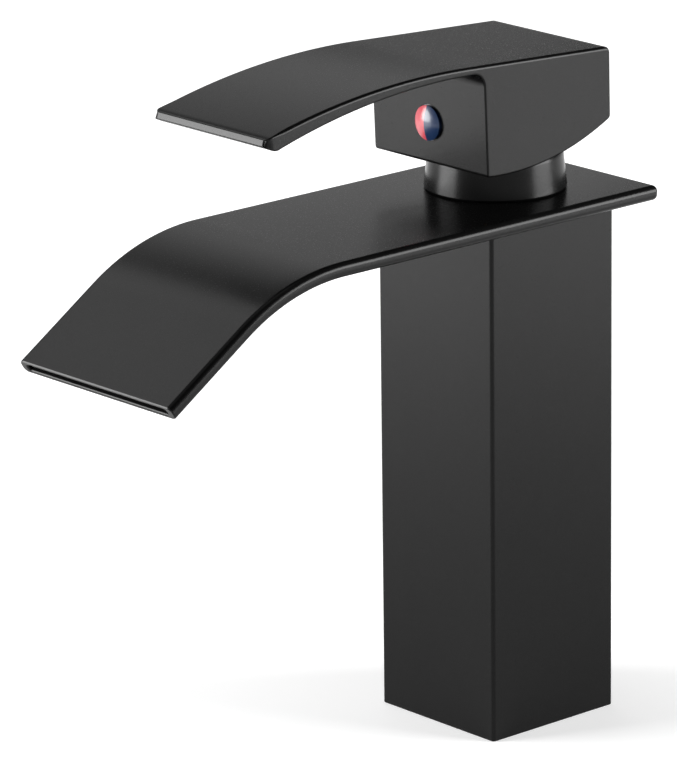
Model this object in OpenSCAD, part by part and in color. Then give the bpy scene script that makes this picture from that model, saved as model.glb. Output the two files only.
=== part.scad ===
// Waterfall basin faucet with one lever: square column, flat waterfall spout,
// conical bonnet, hooded lever handle and a 25 mm ceramic disc cartridge.
// Origin: centre of the column's foot on the deck. +Z is up, the water leaves
// towards -Y, and hot is on the -X side.

/* [Column] */
// Outside width of the square column
column_w = 40; // [38:0.5:46]
// Height from the deck to the underside of the spout
column_h = 127.7; // [110:0.1:170]
// Wall of the column
column_wall = 3; // [2.5:0.1:3.5]
// Radius of the column's upright edges
column_edge_r = 0.6; // [0.5:0.1:2]
// Thickness of the column's top web
web_t = 4.5; // [4:0.1:6]

/* [Spout] */
// Width of the spout across its rounded edges
spout_w = 54.4; // [50:0.2:64]
// Thickness of the hollow spout
spout_t = 3.7; // [3.4:0.1:5]
// Wall of the spout above and below its water channel
spout_wall = 1; // [0.8:0.05:1.2]
// Radius of the spout's long edges
spout_edge_r = 1.4; // [1:0.1:1.6]
// From the column's axis to the back edge of the spout
spout_back = 28.3; // [26:0.1:34]
// From the column's axis to where the spout starts to bend
bend_start = 71.6; // [60:0.2:90]
// Radius of the bend, measured on the top face
bend_r = 57; // [40:1:80]
// Angle that the spout falls by
fall_angle = 33.4; // [25:0.2:42]
// Straight run from the bend to the lip
lip_run = 26.4; // [15:0.2:35]

/* [Handle] */
// Width of the handle
handle_w = 39.8; // [39:0.2:44]
// From the column's axis to the tip of the lever
lever_reach = 88.8; // [80:0.2:100]
// Radius of the crown along the lever's top
crown_r = 204; // [180:1:230]
// Height of the crown over the spout's top face
crown_rise = 37; // [36:0.1:40]
// From the column's axis to the front of the hood
hood_front = 20.8; // [20:0.1:23]
// From the column's axis to the back of the hood
hood_back = 19.3; // [19.1:0.1:22]
// Wall of the hood
hood_wall = 2.4; // [2:0.1:2.5]

/* [Bonnet and cartridge] */
// Diameter of the cartridge
cartridge_d = 25; // [24.6:0.1:25.4]
// Wall of the threaded neck that holds the cartridge
neck_wall = 2.3; // [2.2:0.05:2.4]
// Wall of the bonnet where it is narrowest
bonnet_wall = 1.4; // [1.2:0.1:1.5]
// How far the bonnet's skirt flares
bonnet_flare = 0.8; // [0.5:0.1:1.2]
// How far the lever lifts, for the length of the slots that it needs
lift_angle = 25; // [20:1:26]

/* [Base] */
// Tapping radius of the M8 hole for the fixing stud
stud_hole_r = 3.4; // [3:0.1:3.6]
// Tapping radius of the M10 x 1 inlet ports
port_r = 4.5; // [4:0.1:4.7]
// Depth of each inlet port
port_depth = 10; // [8:0.5:11]
// Sideways distance from the axis to each inlet port
port_x = 7.5; // [7:0.1:8]
// Forward distance from the axis to each inlet port
port_y = 9.5; // [9:0.1:10]

/* [Hidden] */

// Fineness of round faces, and of the very large arcs
$fn = 72;
arc_fn = 360;

// Clearances and the overrun of cuts
fit = 0.05;
slide_fit = 0.2;
over = 1;

// Levels of the outside
spout_top = column_h + spout_t;
web_z = column_h - web_t;
hollow_w = column_w - 2 * column_wall;

// Foot of the valve body and the gasket round it
gasket_t = 2;
gasket_w = 1.9;
foot_w = hollow_w - 2 * slide_fit;
foot_t = 12;
foot_top = gasket_t + foot_t;
stud_boss_wall = 2.4;
stud_boss_r = stud_hole_r + stud_boss_wall;
stud_post_r = 5;
riser_r = 5;
riser_bore_r = 2.4;

// Cartridge radii, from the outside in
cartridge_r = cartridge_d / 2;
seat_r = cartridge_r + slide_fit;
neck_r = seat_r + neck_wall;
waist_step = 0.9;
waist_r = cartridge_r - waist_step;
shell_wall = 1;
shell_bore_r = waist_r - shell_wall;
disc_gap = 0.2;
fixed_disc_r = shell_bore_r - disc_gap;

// Cartridge levels, from the seat up
seat_depth = 11.8;
seat_z = column_h - seat_depth;
base_t = 8.4;
base_flange_t = 2;
base_top = seat_z + base_t;
fixed_disc_t = 3.6;
fixed_disc_top = base_top + fixed_disc_t;
moving_disc_t = 3;
moving_disc_top = fixed_disc_top + moving_disc_t;
driver_t = 4;
driver_top = moving_disc_top + driver_t;
carrier_z = driver_top + slide_fit;
carrier_flange_t = 2.3;
carrier_flange_top = carrier_z + carrier_flange_t;
shell_lip_z = carrier_flange_top + slide_fit;
pivot_rise = 2.5;
pivot_z = carrier_flange_top + pivot_rise;
shoulder_rise = 0.5;
shell_shoulder_z = driver_top + shoulder_rise;
shell_lip_t = 3.3;
shell_top = shell_lip_z + shell_lip_t;
ledge_rise = 2.8;
shell_ledge_z = fixed_disc_top + ledge_rise;

// Neck, cartridge nut and bonnet
block_gap = 0.3;
block_r = hollow_w / 2 - block_gap;
block_t = 19.3;
block_z = web_z - block_t;
thread_step = 0.9;
nut_bore_r = seat_r + thread_step;
nut_thread_t = 1.9;
neck_top = shell_shoulder_z + nut_thread_t;
nut_hex_t = 2.4;
hex_step = 0.8;
nut_hex_r = nut_bore_r + hex_step;
shoulder_lap = 1.35;
nut_hole_r = cartridge_r - shoulder_lap;
nut_gap = 0.15;
shell_neck_r = nut_hole_r - nut_gap;
bonnet_r = neck_r + bonnet_wall;
bonnet_base_r = bonnet_r + bonnet_flare;
bonnet_rim_t = 0.8;
bonnet_top_wall = 1.5;
nut_cover_gap = 0.3;
bonnet_cavity_top = neck_top + nut_hex_t + nut_cover_gap;
bonnet_top = bonnet_cavity_top + bonnet_top_wall;
bonnet_crown_r = 2;
ring_seal_t = 0.8;
ring_seal_inset = 0.1;
ring_seal_r = bonnet_r - ring_seal_inset;

// Cross drill between each riser and the inlet drill under the seat
link_r = 2;
link_rise = 5;
link_z = block_z + link_rise;
link_end = 2.6;

// Lower spout gasket, let into the top of the column
low_seal_t = 1;
low_seal_w = 2.6;
hole_gap = 0.15;
neck_hole_r = neck_r + hole_gap;

// Windows that let the water out of the neck into the spout
window_count = 8;
window_w = 7;
channel_z = column_h + spout_wall;
channel_t = spout_t - 2 * spout_wall;
channel_side = 2.2;
channel_end = 3.5;
channel_edge_r = 0.8;
seam_depth = spout_t / 2;

// The spout's straight run starts inside the bend and is a hair thinner, so both join cleanly
run_lap = 0.5;
run_inset = 0.01;

// Ports through the discs, in the cartridge's own pattern
inlet_x = 5.4;
inlet_y = 4.4;
inlet_r = 2.6;
outlet_y = 5.2;
outlet_r = 3;
inlet_seal_w = 1.4;
seal_depth = 1.6;
top_seal_w = 0.9;
top_seal_depth = 1.2;
outlet_slot_w = 12;
outlet_slot_t = 4;

// Stem, pin and ball, with the travel that the ball gives the moving disc
pin_r = 1.5;
pin_fit = 0.05;
pin_inset = 0.4;
stem_w = 6;
stem_d = 7;
shank_r = 1.6;
ball_r = 2;
ball_gap = 0.15;
ball_z = moving_disc_top + ball_r + slide_fit;
stem_arm = pivot_z - ball_z;
disc_travel = stem_arm * lift_angle * PI / 180;
stem_rise = 19;
stem_top = pivot_z + stem_rise;

// Carrier, driver and moving disc
carrier_r = shell_bore_r - disc_gap;
carrier_neck_r = 8.6;
carrier_rise = 2.2;
carrier_top = pivot_z + carrier_rise;
leg_x = 7.8;
driver_x = leg_x - slide_fit;
moving_disc_r = 8.3;
mixing_wall = 1.3;
mixing_r = moving_disc_r - mixing_wall;
mixing_depth = 1.4;
land_y = 0.6;
peg_inset = 3;
peg_x = 4.8;
peg_r = 1.15;
peg_t = 1.2;
socket_flare = 1.4;
socket_flare_r = ball_r + socket_flare;
flare_rise = 0.4;
stem_slot_w = stem_w + 2 * slide_fit;
slot_front_gap = 0.3;
stem_slot_front = stem_arm * sin(lift_angle) + ball_r + slot_front_gap;
slot_back_gap = 0.6;
stem_slot_back = stem_d / 2 / cos(lift_angle) + carrier_rise * tan(lift_angle) + slot_back_gap;
shank_back_gap = 1.9;
shank_slot_back = shank_r + shank_back_gap;

// O-rings
o_ring_r = 0.65;
ring_stand = 0.1;
shell_ring_r = cartridge_r - o_ring_r + ring_stand;
ring_rise = 1.6;
shell_ring_z = shell_ledge_z + ring_rise;
carrier_ring_section = 0.5;
carrier_ring_r = carrier_r - carrier_ring_section + ring_stand;
carrier_ring_z = carrier_z + carrier_flange_t / 2;

// Side profile of the handle, with Y forwards negative and Z from the deck
crown_y = -37.4;
crown_z = spout_top + crown_rise;
roof_angle = 2.9;
roof_y = crown_y + crown_r * sin(roof_angle);
roof_z = crown_z - crown_r * (1 - cos(roof_angle));
blade_t = 2.2;
blade_under_y = -32.5;
blade_under_r = 188;
blade_under_z = crown_z - blade_t;
tip_y = -lever_reach;
tip_bevel = 3.3;
tip_face = 1.7;
tip_lean = 0.8;
tip_drop = 1;
front_lean = 0.9;
back_lean = 0.5;
hood_rise = 8.9;
hood_low_z = spout_top + hood_rise;
hood_under_r = 72.5;
hood_under_y = -14;
hood_fillet_r = 3.5;
fillet_lap = 0.4;
roof_t = 3;
boss_w = 13;
boss_rise = 4.3;
boss_z = carrier_top + boss_rise;
boss_wall = 3;
boss_back = stem_d / 2 + boss_wall;
socket_end_gap = 0.5;

// Grub screw and index plug in the hood's front
screw_rise = 19.2;
screw_z = spout_top + screw_rise;
screw_r = 2.5;
screw_l = 6;
hex_key_r = 1.45;
hex_key_depth = 3;
plug_r = 4.5;
plug_depth = 2.5;
plug_gap = 0.1;
dome_rise = 1.2;
dome_r = (plug_r * plug_r + dome_rise * dome_rise) / (2 * dome_rise);

// Height of the handle's straight roof over the deck, at a place y
function roof_height(y) = roof_z - (y - roof_y) * tan(roof_angle);

// Place of the hood's front and back faces at a height z
function front_y(z) = -hood_front
  - front_lean * (z - hood_low_z) / (roof_z - hood_low_z);
function back_y(z) = hood_back
  - back_lean * (z - hood_low_z) / (roof_z - hood_low_z);

// A ring with a flat section
module ring(outer_r, inner_r, h) {
  difference() {
    cylinder(r = outer_r, h = h);
    translate([0, 0, -over]) cylinder(r = inner_r, h = h + 2 * over);
  }
}

// A ring with a round section, centred on its own height
module o_ring(major_r, section_r) {
  rotate_extrude() translate([major_r, 0]) circle(section_r, $fn = 32);
}

// A rectangle with four round corners, centred
module round_rect(w, h, r) {
  union() {
    square([w - 2 * r, h], center = true);
    square([w, h - 2 * r], center = true);
    for (x = [-1, 1], y = [-1, 1])
      translate([x * (w / 2 - r), y * (h / 2 - r)]) circle(r, $fn = 48);
  }
}

// A straight rod from one point to another
module rod(from, to, r) {
  run = to - from;
  tilt = acos(run[2] / norm(run));
  translate(from) rotate([0, tilt, atan2(run[1], run[0])]) cylinder(r = r, h = norm(run));
}

// Sweeps a section that hangs from the spout's top face along the spout:
// flat from the back to the bend, round the bend, and straight to the lip
module spout_sweep() {
  $inset = 0;
  // the flat run over the column
  translate([0, spout_back, spout_top]) rotate([90, 0, 0])
    linear_extrude(spout_back + bend_start) children();
  translate([0, -bend_start, spout_top - bend_r]) {
    // the bend
    rotate([0, 90, 0]) rotate([0, 0, 180]) rotate_extrude(angle = fall_angle, $fn = arc_fn)
      rotate([0, 0, -90]) translate([0, bend_r]) children();
    // the straight run to the lip
    rotate([fall_angle, 0, 0]) translate([0, run_lap, bend_r]) rotate([90, 0, 0])
      linear_extrude(lip_run + run_lap) let($inset = run_inset) children();
  }
}

// Section of the whole spout, drawn in by $inset
module spout_section() {
  translate([0, -spout_t / 2])
    round_rect(spout_w - 2 * $inset, spout_t - 2 * $inset, spout_edge_r - $inset);
}

// Section of the water channel, with round ends
module channel_section() {
  translate([0, -spout_t / 2])
    round_rect(spout_w - 2 * (channel_side - $inset), channel_t + 2 * $inset, channel_edge_r + $inset);
}

// The upper half of the section down to the seam, or the lower half
module upper_half() {
  translate([-spout_w / 2 - over, $inset - seam_depth]) square([spout_w + 2 * over, seam_depth + over]);
}

module lower_half() {
  translate([-spout_w / 2 - over, -spout_t - over])
    square([spout_w + 2 * over, spout_t + over - seam_depth - $inset]);
}

// Side profile of the lever blade: crown above, hollow arc below, bevelled tip
module blade_side() {
  tip_top = crown_z - crown_r + sqrt(pow(crown_r, 2) - pow(tip_y - crown_y, 2));
  difference() {
    intersection() {
      translate([crown_y, crown_z - crown_r]) circle(crown_r, $fn = arc_fn * 2);
      polygon([
        [tip_y, tip_top + over], [tip_y, tip_top],
        [tip_y + tip_lean, tip_top - tip_face],
        [tip_y + tip_bevel, tip_top - tip_face - tip_drop],
        [front_y(hood_low_z) + hood_wall, tip_top - tip_face - tip_drop],
        [front_y(hood_low_z) + hood_wall, roof_height(front_y(hood_low_z) + hood_wall)],
        [roof_y, roof_z], [roof_y, crown_z + over], [tip_y, crown_z + over]
      ]);
    }
    intersection() {
      translate([blade_under_y, blade_under_z - blade_under_r])
        circle(blade_under_r, $fn = arc_fn * 2);
      translate([tip_y - over, hood_low_z - over])
        square([front_y(roof_z) - tip_y + over, crown_z - hood_low_z + over]);
    }
  }
}

// Side profile of the hood, whose underside is one shallow arc
module hood_side() {
  intersection() {
    translate([hood_under_y, hood_low_z + hood_under_r]) circle(hood_under_r, $fn = arc_fn);
    polygon([
      [front_y(roof_z), roof_height(front_y(roof_z)) - fit],
      [front_y(hood_low_z), hood_low_z - over],
      [back_y(hood_low_z), hood_low_z - over],
      [back_y(roof_z), roof_height(back_y(roof_z))],
      [roof_y, roof_z]
    ]);
  }
}

// Fillet where the blade's underside meets the hood's front
module hood_fillet() {
  corner_y = front_y(roof_z);
  corner_z = blade_under_z - blade_under_r
    + sqrt(pow(blade_under_r, 2) - pow(corner_y - hood_fillet_r - blade_under_y, 2));
  difference() {
    translate([corner_y - hood_fillet_r, corner_z - hood_fillet_r])
      square([hood_fillet_r + fillet_lap, hood_fillet_r + fillet_lap]);
    translate([corner_y - hood_fillet_r, corner_z - hood_fillet_r])
      circle(hood_fillet_r, $fn = 48);
  }
}

// Hollow of the hood
module hood_cavity_side() {
  polygon([
    [front_y(roof_z) + hood_wall, roof_height(front_y(roof_z) + hood_wall) - roof_t],
    [front_y(hood_low_z) + hood_wall, hood_low_z - over],
    [back_y(hood_low_z) - hood_wall, hood_low_z - over],
    [back_y(roof_z) - hood_wall, roof_height(back_y(roof_z) - hood_wall) - roof_t]
  ]);
}

// Stands a side profile up across the handle
module across(w) {
  rotate([90, 0, 90]) translate([0, 0, -w / 2]) linear_extrude(w) children();
}

// Square column with a top web, open below
module column() {
  color("#2b2b2d") difference() {
    linear_extrude(column_h) round_rect(column_w, column_w, column_edge_r);
    translate([-hollow_w / 2, -hollow_w / 2, -over])
      cube([hollow_w, hollow_w, web_z + over]);
    translate([0, 0, web_z - over]) cylinder(r = neck_hole_r, h = web_t + 2 * over);
    translate([0, 0, column_h - low_seal_t])
      cylinder(r = neck_hole_r + low_seal_w, h = low_seal_t + over);
  }
}

// Brass waterway: foot with the ports, stud post, two risers, cartridge seat and neck
module valve_body() {
  tube_l = block_z - foot_top + 2 * over;
  color("#b5934f") difference() {
    union() {
      translate([-foot_w / 2, -foot_w / 2, gasket_t]) cube([foot_w, foot_w, foot_t]);
      cylinder(r = stud_boss_r, h = gasket_t + over);
      translate([0, 0, foot_top - over]) cylinder(r = stud_post_r, h = tube_l);
      for (s = [-1, 1]) translate([s * port_x, -port_y, foot_top - over])
        cylinder(r = riser_r, h = tube_l);
      translate([0, 0, block_z]) cylinder(r = block_r, h = block_t);
      neck();
    }
    translate([0, 0, -over]) cylinder(r = stud_hole_r, h = foot_top + over);
    for (s = [-1, 1]) inlet_way(s);
    translate([0, 0, seat_z]) cylinder(r = seat_r, h = neck_top - seat_z + over);
    translate([0, 0, shell_shoulder_z - over])
      cylinder(r = nut_bore_r, h = neck_top - shell_shoulder_z + 2 * over);
    peg_holes(peg_r + fit);
    neck_windows();
  }
}

// Way of the water on one side: port, riser, cross drill and inlet drill
module inlet_way(side) {
  translate([side * port_x, -port_y, 0]) {
    translate([0, 0, gasket_t - over]) cylinder(r = port_r, h = port_depth + over);
    translate([0, 0, gasket_t + port_depth - over])
      cylinder(r = riser_bore_r, h = link_z + link_end - gasket_t - port_depth + over);
  }
  rod([side * port_x, -port_y, link_z], [side * inlet_x, -inlet_y, link_z], link_r);
  translate([side * inlet_x, -inlet_y, link_z - link_end])
    cylinder(r = inlet_r, h = seat_z - link_z + link_end + over);
}

// Threaded neck that rises through the column's top and the spout
module neck() {
  translate([0, 0, web_z - over]) cylinder(r = neck_r, h = neck_top - web_z + over);
}

// Slots round the neck at the level of the spout's channel
module neck_windows() {
  for (i = [0 : window_count - 1])
    rotate([0, 0, (i + 0.5) * 360 / window_count])
      translate([seat_r - over, -window_w / 2, channel_z])
        cube([neck_wall + 2 * over, window_w, channel_t]);
}

// Two pegs that key the cartridge to its seat
module peg_holes(r) {
  for (s = [-1, 1])
    translate([s * (cartridge_r - peg_inset), 0, seat_z - 2 * peg_t]) cylinder(r = r, h = 2 * peg_t + over);
}

// Square ring that seals the foot to the deck
module base_gasket() {
  inner_w = foot_w - 2 * gasket_w;
  color("#1d1d1d") difference() {
    translate([-foot_w / 2, -foot_w / 2, 0]) cube([foot_w, foot_w, gasket_t]);
    translate([-inner_w / 2, -inner_w / 2, -over]) cube([inner_w, inner_w, gasket_t + 2 * over]);
  }
}

// Hole for the neck through both shells
module neck_hole() {
  translate([0, 0, column_h - over]) cylinder(r = neck_hole_r, h = spout_t + 2 * over);
}

// Closed back end of the spout, over the depth of one half
module back_wall() {
  $inset = 0;
  translate([0, spout_back, spout_top]) rotate([90, 0, 0]) linear_extrude(channel_end)
    intersection() {
      spout_section();
      children();
    }
}

// Lower shell of the spout
module spout_tray() {
  color("#2b2b2d") difference() {
    union() {
      spout_sweep() difference() {
        intersection() {
          spout_section();
          lower_half();
        }
        channel_section();
      }
      back_wall() lower_half();
    }
    neck_hole();
  }
}

// Upper shell of the spout
module spout_cover() {
  color("#2b2b2d") difference() {
    union() {
      spout_sweep() difference() {
        intersection() {
          spout_section();
          upper_half();
        }
        channel_section();
      }
      back_wall() upper_half();
    }
    neck_hole();
  }
}

// Gasket under the spout, in the top of the column
module spout_gasket_lower() {
  color("#1d1d1d") translate([0, 0, column_h - low_seal_t])
    ring(neck_hole_r + low_seal_w, neck_hole_r, low_seal_t);
}

// Gasket under the bonnet, in its own groove
module spout_gasket_upper() {
  color("#1d1d1d") translate([0, 0, spout_top])
    ring(ring_seal_r, neck_hole_r, ring_seal_t);
}

// Conical bonnet: it screws on the neck, clamps the spout and hides the nut
module bonnet() {
  color("#2b2b2d") difference() {
    translate([0, 0, spout_top]) rotate_extrude() {
      union() {
        square([bonnet_base_r, bonnet_rim_t]);
        polygon([
          [0, bonnet_rim_t], [bonnet_base_r, bonnet_rim_t],
          [bonnet_r, bonnet_top - spout_top - bonnet_crown_r],
          [0, bonnet_top - spout_top - bonnet_crown_r]
        ]);
        square([bonnet_r - bonnet_crown_r, bonnet_top - spout_top]);
        intersection() {
          translate([bonnet_r - bonnet_crown_r, bonnet_top - spout_top - bonnet_crown_r])
            circle(bonnet_crown_r);
          square([bonnet_r, bonnet_top - spout_top]);
        }
      }
    }
    translate([0, 0, spout_top - over]) cylinder(r = neck_r + fit, h = neck_top - spout_top + over);
    translate([0, 0, spout_top - over]) cylinder(r = ring_seal_r, h = ring_seal_t + over);
    translate([0, 0, neck_top - fit])
      cylinder(r = nut_hex_r + slide_fit, h = bonnet_cavity_top - neck_top + fit);
    translate([0, 0, bonnet_cavity_top - over])
      cylinder(r = shell_neck_r + slide_fit, h = bonnet_top_wall + 2 * over);
  }
}

// Hexagon nut that holds the cartridge down
module cartridge_nut() {
  color("#c2a566") difference() {
    union() {
      translate([0, 0, shell_shoulder_z]) cylinder(r = nut_bore_r - fit, h = nut_thread_t);
      translate([0, 0, neck_top]) cylinder(r = nut_hex_r, h = nut_hex_t, $fn = 6);
    }
    translate([0, 0, shell_shoulder_z - over])
      cylinder(r = nut_hole_r, h = nut_thread_t + nut_hex_t + 2 * over);
  }
}

// Plastic shell of the cartridge: waist, ring groove, shoulder and lip
module cartridge_shell() {
  groove_r = shell_ring_r - o_ring_r;
  color("#e8e6df") difference() {
    union() {
      translate([0, 0, base_top]) cylinder(r = waist_r, h = shell_ledge_z - base_top);
      translate([0, 0, shell_ledge_z]) cylinder(r = cartridge_r, h = shell_shoulder_z - shell_ledge_z);
      translate([0, 0, shell_shoulder_z]) cylinder(r = shell_neck_r, h = shell_top - shell_shoulder_z);
    }
    translate([0, 0, base_top - over])
      cylinder(r = shell_bore_r, h = shell_lip_z - base_top + over);
    translate([0, 0, shell_lip_z - over])
      cylinder(r = carrier_neck_r + slide_fit, h = shell_top - shell_lip_z + 2 * over);
    translate([0, 0, shell_ring_z - o_ring_r])
      ring(cartridge_r + over, groove_r, 2 * o_ring_r);
  }
}

// Seal between the shell and the neck
module shell_o_ring() {
  color("#1d1d1d") translate([0, 0, shell_ring_z]) o_ring(shell_ring_r, o_ring_r);
}

// Plastic base of the cartridge: two inlets, one outlet to the side, two pegs
module cartridge_base() {
  color("#d8d5cc") difference() {
    union() {
      translate([0, 0, seat_z]) cylinder(r = cartridge_r, h = base_flange_t);
      translate([0, 0, seat_z]) cylinder(r = waist_r, h = base_t);
      peg_holes(peg_r);
    }
    for (s = [-1, 1]) translate([s * inlet_x, -inlet_y, 0]) {
      translate([0, 0, seat_z - over]) cylinder(r = inlet_r, h = base_t + 2 * over);
      translate([0, 0, seat_z - over]) cylinder(r = inlet_r + inlet_seal_w, h = seal_depth + over);
      translate([0, 0, base_top - top_seal_depth])
        cylinder(r = inlet_r + top_seal_w, h = top_seal_depth + over);
    }
    translate([0, outlet_y, base_top - top_seal_depth])
      cylinder(r = outlet_r + top_seal_w, h = top_seal_depth + over);
    translate([0, outlet_y, seat_z + base_flange_t]) cylinder(r = outlet_r, h = base_t);
    translate([-outlet_slot_w / 2, outlet_y - outlet_r, seat_z + base_flange_t])
      cube([outlet_slot_w, cartridge_r, outlet_slot_t]);
  }
}

// Seals between the seat and the cartridge's inlets
module seat_seals() {
  color("#1d1d1d") for (s = [-1, 1]) translate([s * inlet_x, -inlet_y, seat_z])
    ring(inlet_r + inlet_seal_w, inlet_r, seal_depth);
}

// Seals between the cartridge's base and the fixed disc
module port_seals() {
  color("#1d1d1d") translate([0, 0, base_top - top_seal_depth]) {
    for (s = [-1, 1]) translate([s * inlet_x, -inlet_y, 0])
      ring(inlet_r + top_seal_w, inlet_r, top_seal_depth);
    translate([0, outlet_y, 0]) ring(outlet_r + top_seal_w, outlet_r, top_seal_depth);
  }
}

// Fixed ceramic disc with its three ports
module fixed_disc() {
  color("#f2f0ea") difference() {
    translate([0, 0, base_top]) cylinder(r = fixed_disc_r, h = fixed_disc_t);
    for (s = [-1, 1]) translate([s * inlet_x, -inlet_y, base_top - over])
      cylinder(r = inlet_r, h = fixed_disc_t + 2 * over);
    translate([0, outlet_y, base_top - over])
      cylinder(r = outlet_r, h = fixed_disc_t + 2 * over);
  }
}

// Rotary carrier: flange, slotted neck, pin hole and the legs that guide the driver
module carrier() {
  ring_groove_r = carrier_ring_r - carrier_ring_section;
  color("#3a6ea5") difference() {
    union() {
      translate([0, 0, carrier_z]) cylinder(r = carrier_r, h = carrier_flange_t);
      translate([0, 0, carrier_flange_top - fit])
        cylinder(r = carrier_neck_r, h = carrier_top - carrier_flange_top + fit);
      intersection() {
        translate([0, 0, moving_disc_top + slide_fit])
          cylinder(r = carrier_r, h = driver_t + fit);
        for (s = [-1, 1]) translate([s * (leg_x + carrier_r / 2), 0, carrier_z])
          cube([carrier_r, 2 * carrier_r, 2 * driver_t], center = true);
      }
    }
    translate([-stem_slot_w / 2, -stem_slot_front, carrier_flange_top])
      cube([stem_slot_w, stem_slot_front + stem_slot_back, carrier_top - carrier_flange_top + over]);
    translate([-stem_slot_w / 2, -stem_slot_front, carrier_z - over])
      cube([stem_slot_w, stem_slot_front + shank_slot_back, carrier_flange_t + 2 * over]);
    translate([-carrier_r, 0, pivot_z]) rotate([0, 90, 0])
      cylinder(r = pin_r, h = 2 * carrier_r);
    translate([0, 0, carrier_ring_z - carrier_ring_section])
      ring(carrier_r + over, ring_groove_r, 2 * carrier_ring_section);
  }
}

// Seal round the carrier's flange
module carrier_o_ring() {
  color("#1d1d1d") translate([0, 0, carrier_ring_z])
    o_ring(carrier_ring_r, carrier_ring_section);
}

// Steel pin that the stem tilts on
module pivot_pin() {
  pin_l = 2 * (carrier_neck_r - pin_inset);
  color("#b9bcc0") translate([-pin_l / 2, 0, pivot_z]) rotate([0, 90, 0])
    cylinder(r = pin_r, h = pin_l);
}

// Outline shared by the moving disc and its driver, behind the axis when shut
module disc_outline(h) {
  translate([0, disc_travel / 2, 0]) cylinder(r = moving_disc_r, h = h);
}

// Moving ceramic disc with the mixing chamber in its underside
module moving_disc() {
  color("#f2f0ea") difference() {
    translate([0, 0, fixed_disc_top]) disc_outline(moving_disc_t);
    intersection() {
      translate([0, disc_travel / 2, fixed_disc_top - over])
        cylinder(r = mixing_r, h = mixing_depth + over);
      translate([-mixing_r, -land_y, fixed_disc_top - over])
        cube([2 * mixing_r, 2 * mixing_r, mixing_depth + over]);
    }
    for (s = [-1, 1]) translate([s * peg_x, disc_travel / 2, moving_disc_top - peg_t])
      cylinder(r = peg_r + fit, h = peg_t + over);
  }
}

// Driver: it carries the stem's ball and is keyed to the moving disc
module disc_driver() {
  color("#c9c6bd") difference() {
    union() {
      intersection() {
        translate([0, 0, moving_disc_top]) disc_outline(driver_t);
        translate([-driver_x, -2 * carrier_r, moving_disc_top])
          cube([2 * driver_x, 4 * carrier_r, driver_t]);
      }
      for (s = [-1, 1]) translate([s * peg_x, disc_travel / 2, moving_disc_top - peg_t + fit])
        cylinder(r = peg_r, h = peg_t + over);
    }
    translate([0, 0, moving_disc_top - over])
      cylinder(r = ball_r + ball_gap, h = driver_t + 2 * over);
    translate([0, 0, ball_z + flare_rise])
      cylinder(r1 = ball_r + ball_gap, r2 = socket_flare_r, h = driver_top - ball_z - flare_rise);
    translate([0, 0, driver_top - fit]) cylinder(r = socket_flare_r, h = over);
  }
}

// Stem: square top, round hub on the pin, shank and ball
module stem() {
  color("#b5934f") difference() {
    union() {
      translate([-stem_w / 2, 0, pivot_z]) rotate([0, 90, 0])
        cylinder(r = stem_d / 2, h = stem_w);
      translate([-stem_w / 2, -stem_d / 2, pivot_z]) cube([stem_w, stem_d, stem_top - pivot_z]);
      translate([0, 0, ball_z]) cylinder(r = shank_r, h = stem_arm);
      translate([0, 0, ball_z]) sphere(ball_r);
    }
    translate([-stem_w, 0, pivot_z]) rotate([0, 90, 0])
      cylinder(r = pin_r + pin_fit, h = 2 * stem_w);
  }
}

// Lever handle: crowned blade and hollow hood with the stem's boss inside
module handle() {
  socket_w = stem_w + 2 * fit;
  socket_d = stem_d + 2 * fit;
  color("#2b2b2d") difference() {
    union() {
      difference() {
        across(handle_w) union() {
          blade_side();
          hood_side();
          hood_fillet();
        }
        across(handle_w - 2 * hood_wall) hood_cavity_side();
      }
      across(boss_w) polygon([
        [front_y(boss_z) + hood_wall / 2, boss_z],
        [boss_back, boss_z],
        [boss_back, roof_height(boss_back) - roof_t + fit],
        [front_y(roof_z) + hood_wall / 2, roof_height(front_y(roof_z)) - roof_t + fit]
      ]);
    }
    translate([-socket_w / 2, -socket_d / 2, boss_z - over])
      cube([socket_w, socket_d, stem_top + socket_end_gap - boss_z + over]);
    translate([0, 0, screw_z]) rotate([90, 0, 0])
      cylinder(r = screw_r + fit, h = hood_front + over);
    translate([0, front_y(screw_z) + plug_depth, screw_z]) rotate([90, 0, 0])
      cylinder(r = plug_r, h = plug_depth + over);
  }
}

// Grub screw that clamps the handle to the stem
module grub_screw() {
  color("#8d9094") translate([0, -stem_d / 2, screw_z]) rotate([90, 0, 0]) difference() {
    cylinder(r = screw_r, h = screw_l);
    translate([0, 0, screw_l - hex_key_depth]) cylinder(r = hex_key_r, h = hex_key_depth + over, $fn = 6);
  }
}

// Plug that closes the screw hole in the hood's front
module index_plug() {
  color("#202022") translate([0, front_y(screw_z) + plug_depth, screw_z]) rotate([90, 0, 0])
    cylinder(r = plug_r - plug_gap, h = plug_depth);
}

// One half of the domed index face: side -1 is hot, side 1 is cold
module index_half(side) {
  translate([0, front_y(screw_z), screw_z]) rotate([90, 0, 0]) intersection() {
    translate([0, 0, dome_rise - dome_r]) sphere(dome_r, $fn = 128);
    cylinder(r = plug_r - plug_gap, h = dome_rise + over);
    translate([side > 0 ? 0 : -plug_r, -plug_r, 0]) cube([plug_r, 2 * plug_r, dome_rise + over]);
  }
}

module index_red() {
  color("#d8504f") index_half(-1);
}

module index_blue() {
  color("#27406b") index_half(1);
}

column();
valve_body();
base_gasket();
spout_tray();
spout_cover();
spout_gasket_lower();
spout_gasket_upper();
bonnet();
cartridge_nut();
cartridge_shell();
shell_o_ring();
cartridge_base();
seat_seals();
port_seals();
fixed_disc();
carrier();
carrier_o_ring();
pivot_pin();
moving_disc();
disc_driver();
stem();
handle();
grub_screw();
index_plug();
index_red();
index_blue();
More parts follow.
